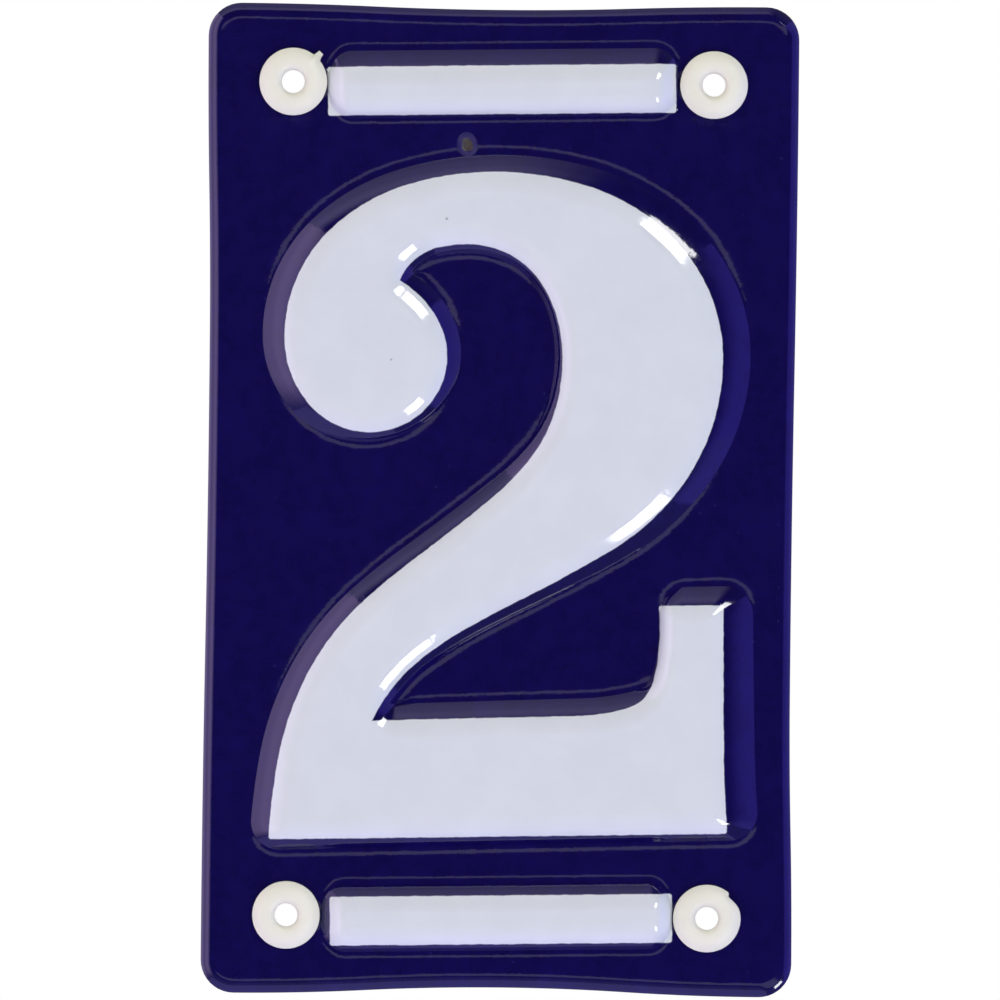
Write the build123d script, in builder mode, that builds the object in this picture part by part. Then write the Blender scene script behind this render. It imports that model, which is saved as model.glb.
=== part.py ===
"""House number plaque: a pressed, enamelled steel plate with the figure 2, held by four screw bushes.

Millimetres. The plate stands upright as it hangs: +Z up and its front facing -Y. The origin is in the middle
of the screw holes, on the front of the plate's flat ground. The edge of the rim meets the wall behind it.
"""

import os
from math import cos, radians, sin, sqrt, tan

from build123d import *

# Plate
plate_width = 71.6
plate_height = 120.0
corner_radius = 5.6
sheet = 1.0  # steel and enamel together, measured square to the wall
rim_depth = 4.0  # wall to the front of the flat ground
rim_radius = 2.0  # outside radius where the border turns back

# The pressing draws each edge in a little beside the relief
top_dip = 0.6
bottom_dip = 0.9
left_dip = 0.45
right_dip = 0.45
left_dip_at = 25  # on the drawing of the figure, beside its bulb
right_dip_at = -30  # on the drawing of the figure, beside its foot

# Relief pressed out of the sheet
relief_height = 2.0
wall_slope = 45.0  # degrees from the ground
foot_radius = 1.0  # where a wall leaves the ground
shoulder_radius = 1.2  # where a wall meets the raised face
outline_corner = 0.7  # rounding of the outline's outer corners
press_turn = 1.0  # degrees that the press tool sat askew on the blank, anticlockwise from the front

# Figure, drawn in hundredths of its height: x and y from the plate's middle and the heading in degrees,
# clockwise from the crown. A corner has the word outer or inner for its heading.
figure_margin = 8.0  # from the figure to the sides of the plate
figure_gap = 3.0  # flat ground between the foot of the figure and the foot of a bar
drawn_aspect = 0.6905  # width of the drawing by its height
outer = "outer corner"
inner = "inner corner"
figure_outline = [
    (-0.8, 50.0, 0),  # crown
    (25.4, 40.8, -43),
    (33.75, 21.8, -90),  # right of the bowl
    (27.6, 2.8, -126),
    (3.0, -14.4, -154),  # inflection under the bowl
    (-11.6, -22.8, -143),
    (-19.5, -32.4, inner),  # inner corner of the foot
    (10.5, -32.0, 0.5),
    (18.2, -31.1, 13),
    (21.4, -29.4, 46),
    (23.3, -25.0, 79),
    (23.75, -15.5, outer),  # tip of the foot, left
    (33.5, -15.5, outer),  # tip of the foot, right
    (33.35, -38.0, -90),
    (33.75, -49.9, outer),  # base line, right
    (-35.3, -50.1, outer),  # base line, left
    (-33.6, -37.5, 78.5),
    (-20.8, -14.5, 42.2),
    (-6.8, -3.5, 37.3),  # inflection of the neck
    (4.6, 6.8, 51.5),
    (9.6, 22.0, 90),  # right of the counter
    (5.6, 34.4, 129),
    (-4.7, 39.15, 180),  # top of the counter
    (-11.6, 37.6, -148),
    (-14.75, 33.8, inner),  # notch over the bulb
    (-11.6, 31.2, -40),
    (-7.75, 22.5, -90),  # right of the bulb
    (-19.4, 11.0, 180),  # underside of the bulb
    (-32.2, 25.2, 90),  # left of the bulb
    (-25.1, 41.6, 43),
]

# Screw holes and their bushes
hole_inset_x = 10.3  # from the sides of the plate
hole_inset_z = 9.5  # from its top and bottom
screw_bore = 2.8
bore_mouth = 0.3  # chamfer of the bore at the head
head_diameter = 8.2
head_edge = 0.5  # height of the head at its edge
head_height = 1.3  # height of the head at its bore
head_rounding = 0.25
shank_diameter = 5.0
shank_clearance = 0.1  # on the radius, shank in the punched hole
bead = 0.2  # how far the push-in bead stands past the hole's edge
bead_gap = 0.05  # play between the bead and the back of the sheet
bead_length = 0.9

# Bars, in line with the two rows of holes
bar_height = 4.8
bar_gap = 0.1  # between a bar's foot and the bush heads beside it

# Worked out from the sizes above
hole_spacing_x = plate_width - 2 * hole_inset_x
hole_spacing_z = plate_height - 2 * hole_inset_z
relief_reach = relief_height / tan(radians(wall_slope)) + foot_radius * tan(radians(wall_slope / 2))
bar_length = hole_spacing_x - head_diameter - 2 * (relief_reach + bar_gap)
figure_width = plate_width - 2 * figure_margin
figure_height = hole_spacing_z - bar_height - 2 * (2 * relief_reach + figure_gap)
hole_radius = shank_diameter / 2 + shank_clearance
wall = Plane.XZ.offset(-rim_depth)


def to_size(x, y):
    """Point or vector of the figure's drawing in millimetres."""
    return Vector(x * figure_width / drawn_aspect, y * figure_height) / 100


def towards(heading):
    """Unit vector along a heading of the figure's drawing."""
    return to_size(cos(radians(heading)), sin(radians(heading))).normalized()


def two_arcs(start, start_way, end, end_way):
    """Two arcs that leave start along start_way, meet smoothly and reach end along end_way."""
    chord = end - start
    bend = 2 * (1 - start_way.dot(end_way))
    along = chord.dot(start_way + end_way)
    reach = (sqrt(along**2 + bend * chord.dot(chord)) - along) / bend
    first = start + start_way * reach
    last = end - end_way * reach
    TangentArc(start, (first + last) * 0.5, tangent=start_way)
    TangentArc((first + last) * 0.5, end, tangent=last - first)


def draw_figure():
    """Closed outline of the figure."""
    corners = (outer, inner)
    for (x0, y0, way0), (x1, y1, way1) in zip(figure_outline, figure_outline[1:] + figure_outline[:1]):
        start = to_size(x0, y0)
        end = to_size(x1, y1)
        if way0 in corners and way1 in corners:
            Line(start, end)
        elif way0 in corners:
            TangentArc(end, start, tangent=towards(way1) * -1)
        elif way1 in corners:
            TangentArc(start, end, tangent=towards(way0))
        else:
            two_arcs(start, towards(way0), end, towards(way1))


def draw_side(start, end, dip_at, dip, inwards):
    """One side of the plate from corner to corner, drawn in by dip at the point dip_at."""
    along = (end - start).normalized()
    for rim, other in ((start, 1), (end, -1)):
        middle = (rim + dip_at + inwards * dip) * 0.5
        TangentArc(rim, middle, tangent=along * other)
        TangentArc(dip_at + inwards * dip, middle, tangent=along * -other)


def draw_plate(inset):
    """Outline of the plate, moved in by inset on all sides."""
    x = plate_width / 2 - inset
    z = plate_height / 2 - inset
    r = corner_radius - inset
    left_level = to_size(0, left_dip_at).Y
    right_level = to_size(0, right_dip_at).Y
    draw_side(Vector(r - x, z), Vector(x - r, z), Vector(0, z), top_dip, Vector(0, -1))
    draw_side(Vector(x, z - r), Vector(x, r - z), Vector(x, right_level), right_dip, Vector(-1, 0))
    draw_side(Vector(x - r, -z), Vector(r - x, -z), Vector(0, -z), bottom_dip, Vector(0, 1))
    draw_side(Vector(-x, r - z), Vector(-x, z - r), Vector(-x, left_level), left_dip, Vector(1, 0))
    for corner_x, corner_z, first in ((x, z, 0), (-x, z, 90), (-x, -z, 180), (x, -z, 270)):
        centre = (corner_x - (r if corner_x > 0 else -r), corner_z - (r if corner_z > 0 else -r))
        CenterArc(centre, r, first, 90)


def pressed_form(level, inset, bend):
    """Solid from the wall to a pressed surface with its ground at level and its sides in by inset."""
    raised = wall.offset(level + relief_height)
    turned = Plane(raised.origin, x_dir=raised.x_dir.rotate(Axis.Y, -press_turn), z_dir=raised.z_dir)
    with BuildPart() as form:
        with BuildSketch(wall):
            with BuildLine():
                draw_plate(inset)
            make_face()
        extrude(amount=level)
        with BuildSketch(turned) as figure:
            with BuildLine():
                draw_figure()
            make_face()
            tips = [to_size(x, y) for x, y, way in figure_outline if way == outer]
            fillet([figure.vertices().sort_by_distance(tip)[0] for tip in tips], outline_corner)
        with BuildSketch(raised):
            with Locations((0, hole_spacing_z / 2), (0, -hole_spacing_z / 2)):
                RectangleRounded(bar_length, bar_height, outline_corner, rotation=press_turn)
        extrude(amount=-relief_height, taper=wall_slope - 90)
        ground = form.faces().filter_by(Axis.Y).group_by(Axis.Y)[1][0]
        valleys = form.edges().filter_by(GeomType.BSPLINE)
        nooks = [turned.from_local_coords(to_size(x, y)) for x, y, way in figure_outline if way == inner]
        creases = [valleys.sort_by_distance(nook)[0] for nook in nooks]
        fillet([wire.edges() for wire in ground.inner_wires()] + creases, foot_radius)
        tops = form.faces().filter_by(Axis.Y).group_by(Axis.Y)[0]
        fillet(tops.edges(), shoulder_radius)
        ground = form.faces().filter_by(Axis.Y).group_by(Axis.Y)[1][0]
        fillet(ground.outer_wire().edges(), bend)
    return form.part


front_form = pressed_form(rim_depth, 0, rim_radius)
back_form = pressed_form(rim_depth - sheet, sheet, rim_radius - sheet)

# Plate: one sheet between its front and its back, with a punched hole in each corner
with BuildPart() as enamelled_plate:
    add(front_form)
    add(back_form, mode=Mode.SUBTRACT)
    with Locations(Plane.XZ):
        with GridLocations(hole_spacing_x, hole_spacing_z, 2, 2):
            Cylinder(hole_radius, 2 * rim_depth, mode=Mode.SUBTRACT)

os.makedirs("parts", exist_ok=True)
enamelled_plate.part.label = "enamelled_plate"
export_step(enamelled_plate.part, "parts/enamelled_plate.step")

# Bushes: a domed head on the ground, a shank through the sheet and a bead that snaps in behind it
bore_radius = screw_bore / 2
shank_radius = shank_diameter / 2
bead_radius = hole_radius + bead
bead_start = sheet + bead_gap
shank_end = bead_start + bead_length
rows = {"top": hole_spacing_z / 2, "bottom": -hole_spacing_z / 2}
columns = {"left": -hole_spacing_x / 2, "right": hole_spacing_x / 2}
for row, z in rows.items():
    for column, x in columns.items():
        with BuildPart() as bush:
            with BuildSketch(Plane((x, 0, z))) as half:
                with BuildLine():
                    profile = Polyline(
                        (bore_radius + bore_mouth, -head_height),
                        (bore_radius, bore_mouth - head_height),
                        (bore_radius, shank_end),
                        (shank_radius, shank_end),
                        (bead_radius, bead_start + bead),
                        (bead_radius, bead_start),
                        (shank_radius, bead_start),
                        (shank_radius, 0),
                        (head_diameter / 2, 0),
                        (head_diameter / 2, -head_edge),
                    )
                    TangentArc(profile @ 0, profile @ 1, tangent=(1, 0))
                make_face()
                fillet(half.vertices().sort_by_distance(profile @ 1)[0], head_rounding)
            revolve(axis=Axis((x, 0, z), (0, 1, 0)))
        bush.part.label = f"bush_{row}_{column}"
        export_step(bush.part, f"parts/bush_{row}_{column}.step")
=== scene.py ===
"""House number plaque: an enamelled plate with a raised figure, its screw bushes and the stage for it.

Laid out as a Blender add-on. Metres, in the frame of the packed part: +Z up and the front facing -Y. The
origin is in the middle of the screw holes, on the front of the plate's flat ground. Points of the plate's
plane are (x, z).
"""

from math import atan2, cos, pi, radians, sin, sqrt, tan

import bpy
import numpy as np
from bpy.props import FloatProperty, FloatVectorProperty, PointerProperty
from mathutils import Matrix, Vector
from mathutils.geometry import delaunay_2d_cdt


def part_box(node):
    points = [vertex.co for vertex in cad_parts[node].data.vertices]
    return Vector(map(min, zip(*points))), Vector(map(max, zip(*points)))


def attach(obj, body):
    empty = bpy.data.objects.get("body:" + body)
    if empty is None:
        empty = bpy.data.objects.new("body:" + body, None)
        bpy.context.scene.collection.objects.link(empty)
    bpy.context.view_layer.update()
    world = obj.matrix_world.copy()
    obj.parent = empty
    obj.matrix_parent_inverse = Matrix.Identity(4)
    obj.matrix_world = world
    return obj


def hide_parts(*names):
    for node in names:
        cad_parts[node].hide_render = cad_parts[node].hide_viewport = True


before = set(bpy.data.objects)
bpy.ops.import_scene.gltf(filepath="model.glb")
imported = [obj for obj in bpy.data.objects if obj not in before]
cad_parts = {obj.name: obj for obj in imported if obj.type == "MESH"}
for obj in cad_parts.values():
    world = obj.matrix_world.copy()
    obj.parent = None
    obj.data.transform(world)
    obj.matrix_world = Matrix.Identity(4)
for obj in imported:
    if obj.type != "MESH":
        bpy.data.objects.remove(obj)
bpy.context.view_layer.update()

bl_info = {
    "name": "House Number Plaque",
    "version": (1, 0, 0),
    "blender": (4, 5, 0),
    "location": "View3D > Sidebar > Plaque",
    "description": "Builds an enamelled house number plate, its screw bushes and a photo stage",
    "category": "Object",
}

mm = 0.001
plate_low, plate_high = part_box("enamelled_plate")
bush_nodes = ("bush_top_left", "bush_top_right", "bush_bottom_left", "bush_bottom_right")
bush_low, bush_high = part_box("bush_top_left")

# Outline of the figure in hundredths of its height: x and z from the plate's middle and the heading in
# degrees, clockwise from the crown. A corner has the word outer or inner for its heading.
OUTER = "outer corner"
INNER = "inner corner"
FIGURE_DRAWING = (
    (-0.8, 50.0, 0),  # crown
    (25.4, 40.8, -43),
    (33.75, 21.8, -90),  # right of the bowl
    (27.6, 2.8, -126),
    (3.0, -14.4, -154),  # inflection under the bowl
    (-11.6, -22.8, -143),
    (-19.5, -32.4, INNER),  # inner corner of the foot
    (10.5, -32.0, 0.5),
    (18.2, -31.1, 13),
    (21.4, -29.4, 46),
    (23.3, -25.0, 79),
    (23.75, -15.5, OUTER),  # tip of the foot, left
    (33.5, -15.5, OUTER),  # tip of the foot, right
    (33.35, -38.0, -90),
    (33.75, -49.9, OUTER),  # base line, right
    (-35.3, -50.1, OUTER),  # base line, left
    (-33.6, -37.5, 78.5),
    (-20.8, -14.5, 42.2),
    (-6.8, -3.5, 37.3),  # inflection of the neck
    (4.6, 6.8, 51.5),
    (9.6, 22.0, 90),  # right of the counter
    (5.6, 34.4, 129),
    (-4.7, 39.15, 180),  # top of the counter
    (-11.6, 37.6, -148),
    (-14.75, 33.8, INNER),  # notch over the bulb
    (-11.6, 31.2, -46),
    (-7.75, 22.5, -90),  # right of the bulb
    (-19.4, 11.0, 180),  # underside of the bulb
    (-32.2, 25.2, 90),  # left of the bulb
    (-25.1, 41.6, 43),
)


# Settings


def length(name, description, default):
    """Property for a size in metres."""
    return FloatProperty(name=name, description=description, default=default, unit="LENGTH", precision=5)


def angle(name, description, default):
    """Property for an angle, given in degrees."""
    return FloatProperty(name=name, description=description, default=radians(default), unit="ROTATION")


def place(name, description, default):
    """Property for a point of the plate's plane or a way on it."""
    return FloatVectorProperty(
        name=name, description=description, default=default, size=2, unit="LENGTH", precision=5
    )


def colour(name, description, default):
    """Property for a linear colour."""
    return FloatVectorProperty(
        name=name, description=description, default=default, subtype="COLOR", size=4, min=0.0, max=1.0
    )


def number(name, description, default):
    """Property for a plain number."""
    return FloatProperty(name=name, description=description, default=default)


class PlaquePlateSettings(bpy.types.PropertyGroup):
    """Sizes of the pressed plate."""

    width: length("Width", "Plate from side to side", plate_high.x - plate_low.x)
    height: length("Height", "Plate from bottom to top", plate_high.z - plate_low.z)
    corner: length("Corner", "Radius of the plate's corners", 4.0 * mm)
    sheet: length("Sheet", "Steel and enamel together", 1.0 * mm)
    rim_depth: length("Rim depth", "Front of the ground to the edge of the rim", plate_high.y)
    rim_reach: length("Rim reach", "Width of the border that turns back", 2.08 * mm)
    rim_fall: angle("Rim fall", "Slope of the border's inner part", 4.5)
    rim_start: angle("Rim start", "Slope at which the border's bend starts", 30)
    rim_end: angle("Rim end", "Slope at which the border turns straight back", 55)
    rim_lead: length("Rim lead", "Rounding where the border leaves the ground", 8.0 * mm)
    rim_crease: length("Rim crease", "Rounding where the border's bend starts", 2.0 * mm)
    rim_bend: length("Rim bend", "Rounding of the border's bend", 1.7 * mm)
    rim_turn: length("Rim turn", "Rounding where the border turns straight back", 0.3 * mm)
    soft_crease: length("Soft crease", "The same at the corner that was pressed less", 1.6 * mm)
    soft_bend: length("Soft bend", "The same at the corner that was pressed less", 0.35 * mm)
    soft_at: angle("Soft corner at", "Where that corner lies, anticlockwise from the right", -50)
    tight_crease: length("Tight crease", "The same at the corner that was pressed more", 0.05 * mm)
    tight_bend: length("Tight bend", "The same at the corner that was pressed more", 3.6 * mm)
    tight_at: angle("Tight corner at", "Where that corner lies, anticlockwise from the right", 47)
    edge_round: length("Edge rounding", "Rounding of the sheet's cut edges", 0.15 * mm)
    top_dip: length("Top dip", "How far the top edge is drawn in", 0.6 * mm)
    bottom_dip: length("Bottom dip", "How far the bottom edge is drawn in", 0.9 * mm)
    side_dip: length("Side dip", "How far the two sides are drawn in", 0.45 * mm)
    left_dip_at: number("Left dip at", "Height on the drawing of the figure", 25)
    right_dip_at: number("Right dip at", "Height on the drawing of the figure", -30)
    hole_inset: place("Hole inset", "From the sides, and from the top and bottom", (10.3 * mm, 9.5 * mm))
    hole_radius: length("Hole radius", "Punched holes", 2.6 * mm)
    dimple: length("Dimple", "How far the ground is drawn in round a hole", 0.06 * mm)
    dimple_radius: length("Dimple radius", "How far round a hole the ground is drawn in", 6.8 * mm)
    ripple: length("Ripple", "How far the enamelled front lies out of true", 0.02 * mm)


class PlaqueReliefSettings(bpy.types.PropertyGroup):
    """Sizes of the relief that is pressed out of the plate."""

    height: length("Height", "Raised faces above the ground", -plate_low.y)
    crown_radius: length("Crown radius", "Gentle rounding of a raised face towards its walls", 5.5 * mm)
    crown_slope: angle("Crown slope", "Slope at which the gentle rounding ends", 28)
    wall_slope: angle("Wall slope", "Slope of the walls at their foot", 45.5)
    rise_radius: length("Rise radius", "Hollow in which the ground rises to the foot of a wall", 11.2 * mm)
    rise_slope: angle("Rise slope", "Slope of the ground at the foot of a wall", 7.5)
    figure_corner: length("Figure corner", "Rounding of the figure's outer corners at their foot", 3.4 * mm)
    press_turn: angle("Press turn", "How far the press tool sat askew, anticlockwise", 1.0)
    figure_turn: angle("Figure turn", "How much further askew the figure was pressed than painted", 0.5)
    figure_size: place("Figure size", "Width and height of the figure's drawing", (55.6 * mm, 80.54 * mm))
    drawn_aspect: number("Drawn aspect", "Width of the drawing by its height", 0.6905)
    figure_splay: number("Figure splay", "How much wider the foot of the figure is than its drawing", 1.05)
    figure_shift: place("Figure shift", "Where the foot of the figure lies", (0.48 * mm, 0.0))
    figure_grow: length("Figure growth", "Drawing to the foot of the walls", 1.57 * mm)
    bar_size: place("Bar size", "A bar from foot to foot", (42.6 * mm, 8.2 * mm))
    bar_corner: length("Bar corner", "Rounding of a bar's corners", 4.4 * mm)
    bar_end_squeeze: number("Bar end squeeze", "Length of a bar's end walls by the figure's", 0.68)
    bar_side_squeeze: number("Bar side squeeze", "Length of a bar's long walls by the figure's", 0.82)
    seat_clear: length("Seat clearance", "Round a bush head, where a bar falls to the ground", 0.35 * mm)


class PlaqueEnamelSettings(bpy.types.PropertyGroup):
    """Colours of the enamel, where the white ends and where a spot has burst."""

    blue: colour("Blue", "Enamel of the ground", (0.005, 0.0026, 0.068, 1.0))
    pale_blue: colour("Pale blue", "Small bubbles in the blue enamel", (0.02, 0.017, 0.13, 1.0))
    white: colour("White", "Enamel of the figure and the bars", (0.675, 0.703, 0.81, 1.0))
    ground_coat: colour("Ground coat", "First coat, bare on the back and edge", (0.022, 0.024, 0.032, 1.0))
    speckle: colour("Speckle", "Pale grains in the first coat", (0.16, 0.17, 0.19, 1.0))
    # Paler blue painted on the lip round the burst spot: a painted reflection of light on that lip, not
    # thinner enamel.
    painted_lip_sheen: colour("Painted lip sheen", "Blue enamel blown thin round the burst spot", (0.05, 0.043, 0.16, 1.0))
    rust: colour("Rust", "Bare steel in the burst spot", (0.034, 0.024, 0.016, 1.0))
    corner: length("White corner", "Rounding of the white's outer corners", 0.3 * mm)
    figure_drop: length("White figure drop", "How far the white lies below the plate's middle", 0.5 * mm)
    bar_size: place("White bar size", "White of a bar, with its end slopes", (42.2 * mm, 5.9 * mm))
    bottom_bar_trim: length("Bottom bar trim", "How much shorter the white of the bottom bar is", 0.75 * mm)
    top_bar_shift: place("Top bar shift", "Its white from the screw holes", (-0.18 * mm, -0.79 * mm))
    bottom_bar_shift: place("Bottom bar shift", "Its white from the screw holes", (0.55 * mm, -0.36 * mm))
    burst: place("Burst spot", "Where the enamel has burst", (-4.33 * mm, 43.0 * mm))
    burst_radius: length("Burst radius", "Lip round the burst spot", 1.25 * mm)
    burst_lip: length("Burst lip", "How far the lip stands up", 0.04 * mm)
    burst_depth: length("Burst depth", "How deep the burst spot is", 0.15 * mm)


class PlaqueBushSettings(bpy.types.PropertyGroup):
    """Sizes and colour of the screw bushes."""

    head_diameter: length("Head diameter", "Head of a bush", bush_high.x - bush_low.x)
    head_edge: length("Head edge", "Height of the head at its edge", 0.5 * mm)
    head_height: length("Head height", "Height of the head at its bore", -bush_low.y)
    head_round: length("Head rounding", "Rounding of the head's edge", 0.25 * mm)
    bore: length("Bore", "Hole for the screw", 2.8 * mm)
    bore_mouth: length("Bore mouth", "Rounding of the bore at the head", 0.9 * mm)
    shank_diameter: length("Shank diameter", "Shank in the sheet", 5.0 * mm)
    shank_end: length("Shank end", "Front of the ground to the shank's end", bush_high.y)
    bead_diameter: length("Bead diameter", "Bead behind the sheet", 5.6 * mm)
    bead_start: length("Bead start", "Front of the ground to the bead", 1.05 * mm)
    bead_edge: length("Bead edge", "Height of the bead at its edge", 0.2 * mm)
    small_round: length("Small rounding", "Rounding of the other edges", 0.08 * mm)
    gate_at: angle("Gate at", "Where the mould was filled, anticlockwise from the right", 46)
    gate_width: length("Gate width", "Stub that the gate left on one head", 0.8 * mm)
    gate_length: length("Gate length", "How far that stub stands out", 0.8 * mm)
    step_depth: length("Step depth", "How far another head was trimmed too far", 0.38 * mm)
    step_spread: angle("Step spread", "How far round that head the trimming runs out", 36)
    plastic: colour("Plastic", "Moulded bush", (0.786, 0.772, 0.72, 1.0))


class PlaqueStageSettings(bpy.types.PropertyGroup):
    """Camera, lights and floor."""

    view_height: length("View height", "What the picture takes in at the plate", 121.19 * mm)
    camera_distance: length("Camera distance", "Camera to the plate", 5.0)
    camera_roll: angle("Camera roll", "Anticlockwise, so that the plate leans clockwise", 0.5)
    lamp_aside: length("Lamp aside", "Strip lamps from the view axis", 0.5)
    lamp_near: angle("Lamp near end", "Near end of a strip lamp off the view axis", 46)
    lamp_far: angle("Lamp far end", "Far end of a strip lamp off the view axis", 25)
    lamp_width: length("Lamp width", "Strip lamp across", 0.148)
    lamp_light: number("Lamp brightness", "Each strip lamp", 12.5)
    left_light: number("Left brightness", "Lamp on the left", 1.71)
    top_light: number("Top brightness", "Lamp above", 0.92)
    bottom_light: number("Bottom brightness", "Bluish lamp below", 0.69)
    right_light: number("Right brightness", "Blue lamp on the right", 1.0)
    slit_light: number("Slit brightness", "Pale slits over and under the camera", 0.5)
    ambient: number("Ambient", "Light from the front on dull surfaces", 0.31)
    back_light: number("Back light", "Light from behind on dull surfaces", 0.7)
    floor_drop: length("Floor drop", "Floor under the plate", 0.5)
    floor_size: length("Floor size", "Side of the floor", 3.0)


# Outlines

SIDE_WAYS = np.array(((1.0, 0.0), (0.0, -1.0), (-1.0, 0.0), (0.0, 1.0)))  # of a box, clockwise from its top
ARC_TURN = radians(9)  # most that a step along an arc turns
FAN_STEPS = 14  # points that fan out at an inner corner
MEETING_ROUNDS = 12  # of the search for where two arcs meet
RING_ERROR = 0.002 * mm  # most that a point of a ring misses its offset


def along(heading):
    """Unit vector at an angle in radians."""
    return np.array((cos(heading), sin(heading)))


def leftwards(way):
    """Vector turned a quarter turn to the left."""
    return np.array((-way[1], way[0]))


class Arc:
    """Arc of an outline that runs clockwise, with the outside on its left. A line is one of huge radius."""

    straightest = 1e-3

    def __init__(self, start, end, way):
        chord = end - start
        bend = 2 * chord.dot(leftwards(way)) / (chord.dot(chord) * np.linalg.norm(way))
        if abs(bend) < self.straightest:
            bend = -self.straightest
        self.start, self.end = start, end
        self.radius = abs(1 / bend)
        self.outwards = -1 if bend > 0 else 1
        middle = (start + end) / 2
        reach = sqrt(max(self.radius**2 - chord.dot(chord) / 4, 0.0))
        aside = leftwards(chord) / np.linalg.norm(chord)
        self.centre = middle - self.outwards * aside * reach
        self.first = atan2(*(start - self.centre)[::-1])
        last = atan2(*(end - self.centre)[::-1])
        self.sweep = (last - self.first + pi) % (2 * pi) - pi

    def side(self, point):
        """Signed distance to the arc's whole circle, positive outside, and the way it grows."""
        arm = point - self.centre
        reach = np.linalg.norm(arm)
        return self.outwards * (reach - self.radius), self.outwards * arm / reach

    def points(self, step):
        """Points along the arc without its end, and their outward normals."""
        count = int(np.ceil(max(abs(self.sweep) * self.radius / step, abs(self.sweep) / ARC_TURN, 1)))
        turn = self.first + self.sweep * np.arange(count) / count
        arm = np.column_stack((np.cos(turn), np.sin(turn)))
        return self.centre + arm * self.radius, arm * self.outwards


def moved(arc, reach):
    """Arc moved outwards by a reach."""
    ends = [point + arc.side(point)[1] * reach for point in (arc.start, arc.end)]
    return Arc(*ends, way_at(arc, arc.start))


def two_arcs(start, start_way, end, end_way):
    """Two arcs that leave start along start_way, meet smoothly and reach end along end_way."""
    chord = end - start
    bend = 2 * (1 - start_way.dot(end_way))
    ahead = chord.dot(start_way + end_way)
    reach = (sqrt(ahead**2 + bend * chord.dot(chord)) - ahead) / bend
    first = start + start_way * reach
    last = end - end_way * reach
    middle = (first + last) / 2
    return [Arc(start, middle, start_way), Arc(middle, end, last - first)]


def meeting(before, after, inset):
    """Point inside two arcs by an inset, near where they meet."""
    point = before.end
    for _ in range(MEETING_ROUNDS):
        first, first_way = before.side(point)
        last, last_way = after.side(point)
        point = point - np.linalg.solve((first_way, last_way), (first + inset, last + inset))
    return point


def crossed(before, after):
    """Two arcs that end and start where they cross at an inner corner."""
    corner = meeting(before, after, 0.0)
    trimmed = Arc(before.start, corner, way_at(before, before.start))
    return trimmed, Arc(corner, after.end, way_at(after, corner))


def rounded(before, after, radius):
    """Arc of a radius inside the corner between two arcs, which end and start at it from then on."""
    centre = meeting(before, after, radius)
    start = centre + before.side(centre)[1] * radius
    end = centre + after.side(centre)[1] * radius
    trimmed = Arc(before.start, start, way_at(before, before.start))
    shortened = Arc(end, after.end, way_at(after, end))
    corner = Arc(start, end, -leftwards(start - centre))
    return trimmed, corner, shortened


def way_at(arc, point):
    """Way an arc runs at one of its points."""
    return -leftwards(arc.side(point)[1])


def bend_between(way, other):
    """Angle from one unit vector to another, anticlockwise."""
    return atan2(way[0] * other[1] - way[1] * other[0], way.dot(other))


class Outline:
    """Closed outline of arcs, with the signed distance to it."""

    def __init__(self, arcs, nooks=()):
        self.arcs = arcs
        self.nooks = nooks
        self.centre = np.array([arc.centre for arc in arcs])
        self.radius = np.array([arc.radius for arc in arcs])
        self.outwards = np.array([arc.outwards for arc in arcs])
        self.middle = np.array([arc.first + arc.sweep / 2 for arc in arcs])
        self.half = np.array([abs(arc.sweep) / 2 * (1 + 1e-6) for arc in arcs])
        self.ends = np.array([(arc.start, arc.end) for arc in arcs])

    def distance(self, points):
        """Signed distance of points, negative inside. An arc's end is nearest only in an inner corner."""
        arm = points[:, None, :] - self.centre
        reach = np.hypot(arm[..., 0], arm[..., 1])
        turn = np.arctan2(arm[..., 1], arm[..., 0]) - self.middle
        beside = np.abs((turn + pi) % (2 * pi) - pi) <= self.half
        to_ends = np.linalg.norm(points[:, None, None, :] - self.ends, axis=3).min(axis=2)
        signed = np.where(beside, self.outwards * (reach - self.radius), -to_ends)
        nearest = np.argmin(np.abs(signed), axis=1)
        return signed[np.arange(len(points)), nearest]

    def points(self, step):
        """Points all along the outline and their outward normals, which fan out at an inner corner."""
        parts = [arc.points(step) for arc in self.arcs]
        for before, after in self.nooks:
            corner, first = before.end, before.side(before.end)[1]
            fan = np.linspace(0, bend_between(first, after.side(corner)[1]), FAN_STEPS)[:, None]
            normals = first * np.cos(fan) + leftwards(first) * np.sin(fan)
            parts.append((np.tile(corner, (FAN_STEPS, 1)), normals))
        return np.concatenate([part[0] for part in parts]), np.concatenate([part[1] for part in parts])


class Stamp:
    """An outline as it lies on the plate: stretched, turned and shifted, more so at the foot of its walls."""

    def __init__(self, outline, turn, shift, stretch=(1.0, 1.0), slide=(0.0, 0.0), splay=(1.0, 1.0)):
        self.outline, self.turn = outline, turn
        self.shift, self.stretch = np.array(shift), np.array(stretch)
        self.slide, self.splay = np.array(slide), np.array(splay)

    def lie(self, low):
        """Shift and stretch at a share of the way from the raised face down to the foot."""
        low = np.asarray(low)[..., None]
        return self.shift + self.slide * low, self.stretch * (1 + (self.splay - 1) * low)

    def distance(self, points, low=1.0):
        """Distance of points of the plate from the outline, in the outline's own measure."""
        shift, stretch = self.lie(low)
        return self.outline.distance(turned(points - shift, -self.turn) / stretch)

    def ring(self, offset, step, low=1.0):
        """Points of the plate at an offset from the outline."""
        line, outward = self.outline.points(step)
        ring = line + outward * offset
        kept = np.abs(self.outline.distance(ring) - offset) < RING_ERROR
        shift, stretch = self.lie(low)
        return turned(ring[kept] * stretch, self.turn) + shift


def turned(points, turn):
    """Points turned anticlockwise about the middle."""
    rows = np.array(((cos(turn), sin(turn)), (-sin(turn), cos(turn))))
    return points @ rows


def smooth(value, low, high):
    """Smooth step from 0 at low to 1 at high."""
    share = np.clip((value - low) / (high - low), 0, 1)
    return share * share * (3 - 2 * share)


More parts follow.
